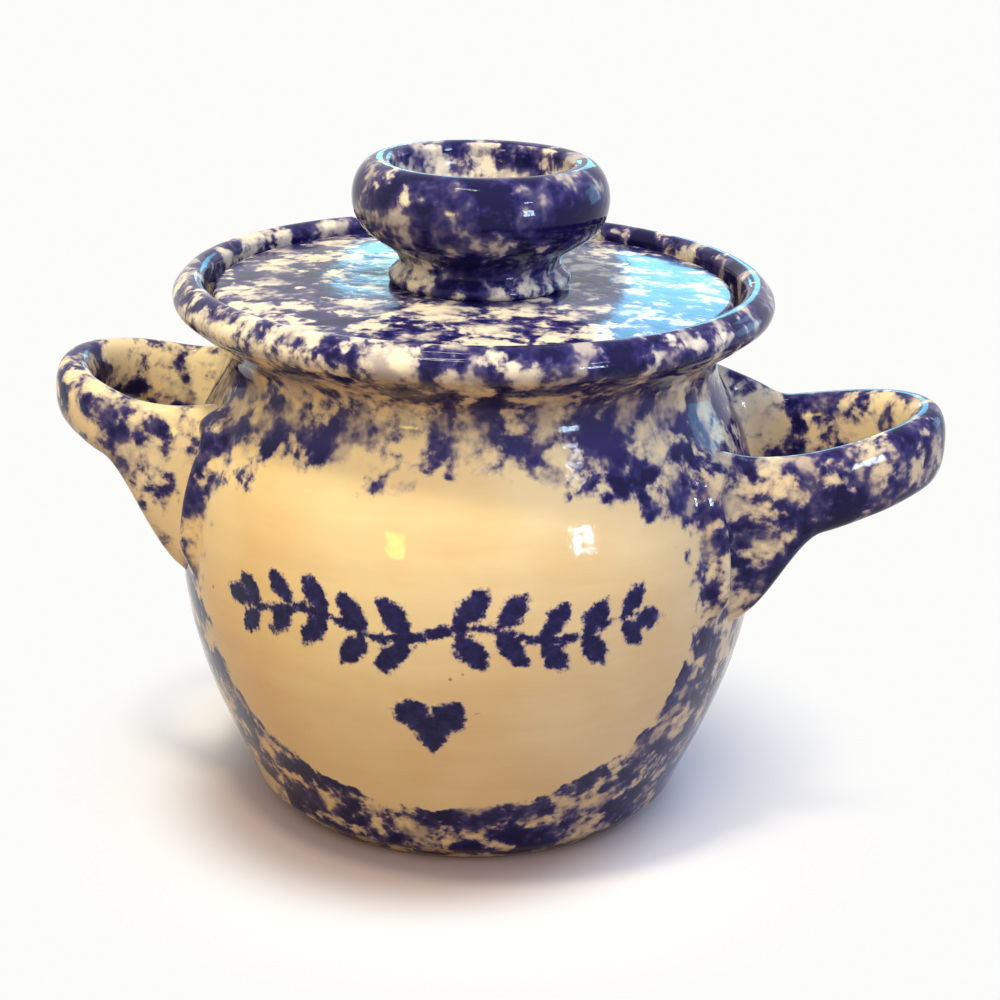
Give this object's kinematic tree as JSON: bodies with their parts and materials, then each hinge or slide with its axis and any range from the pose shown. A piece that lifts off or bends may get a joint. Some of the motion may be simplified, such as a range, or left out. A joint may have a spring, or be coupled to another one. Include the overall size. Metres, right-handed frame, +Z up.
{
  "type": "garlic keeper",
  "caption": "Round-bellied glazed stoneware jar with loop handles, a flared rim and an inset lid with a cupped knob, for storing garlic.",
  "frame": {"origin": "centre of the foot ring's flat underside, on the pot's axis", "axes": "+Z up along the pot's axis, +X through the middle of the right (longer) handle, -Y towards the decorated front"},
  "size_m": [0.1736, 0.1146, 0.1265],
  "materials": {
    "pot_glaze": "glossy clear glaze over cream slip with sponged cobalt blue",
    "handle_glaze": "glossy clear glaze over cream slip with sponged cobalt blue",
    "lid_glaze": "glossy clear glaze over cream slip with dense sponged cobalt blue",
    "knob_glaze": "glossy clear glaze over cream slip with dense sponged cobalt blue"
  },
  "bodies": {
    "pot": {"pot_body": "pot_glaze", "left_handle": "handle_glaze", "right_handle": "handle_glaze"},
    "lid": {"lid_plate": "lid_glaze", "lid_knob": "knob_glaze"}
  },
  "joints": [
    {"name": "lid_lift", "type": "slide", "parent": "pot", "child": "lid", "axis": [0, 0, 1], "range_m": [0, 0.06]}
  ]
}
